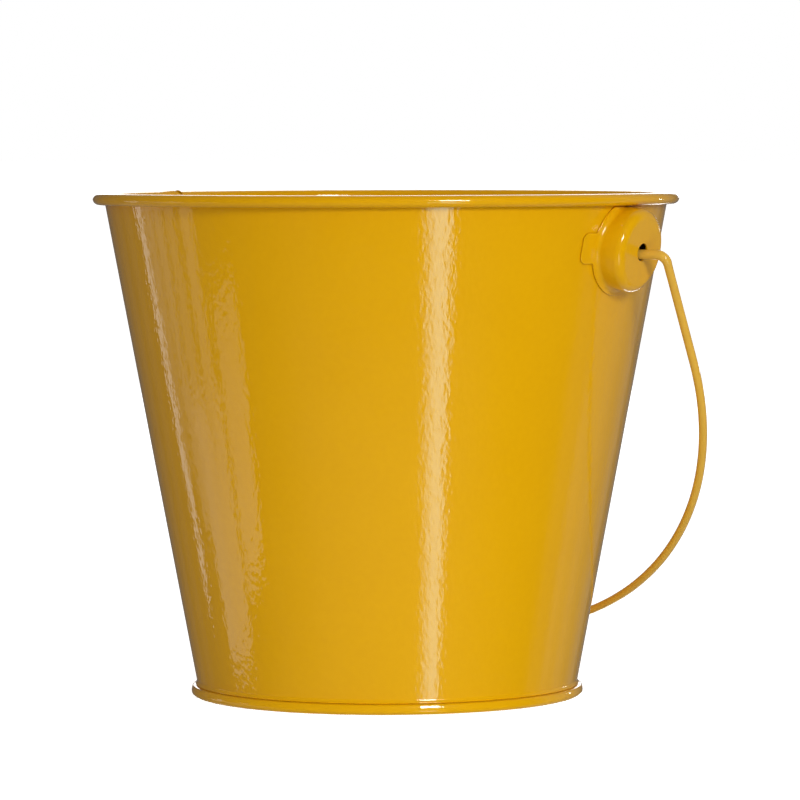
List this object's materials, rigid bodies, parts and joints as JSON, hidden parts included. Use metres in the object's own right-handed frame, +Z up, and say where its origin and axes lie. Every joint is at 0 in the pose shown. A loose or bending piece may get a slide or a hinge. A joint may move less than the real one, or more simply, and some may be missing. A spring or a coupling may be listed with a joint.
{
  "type": "sand bucket",
  "caption": "Small tapered sheet-metal sand bucket with a rolled rim, a seamed foot ring, stamped ears under the rim and a swinging wire bail.",
  "frame": {"origin": "on the bucket's axis, at the level of the floor it stands on", "axes": "+X through the middle of the right ear along the bail's pivot line, +Y towards the wall that the bail hangs against, +Z up the bucket's axis"},
  "size_m": [0.167, 0.1498, 0.1288],
  "materials": {
    "sheet_paint": "glossy golden-yellow enamel with fine orange peel",
    "wire_paint": "satin golden-yellow enamel"
  },
  "bodies": {
    "bucket": {"wall": "sheet_paint", "base": "sheet_paint", "ear_right": "sheet_paint", "ear_left": "sheet_paint"},
    "bail": {"bail": "wire_paint"}
  },
  "joints": [
    {"name": "bail_hinge", "type": "hinge", "parent": "bucket", "child": "bail", "pos_m": [0, 0, 0.11373], "axis": [1, 0, 0], "range_deg": [0, 305]}
  ]
}
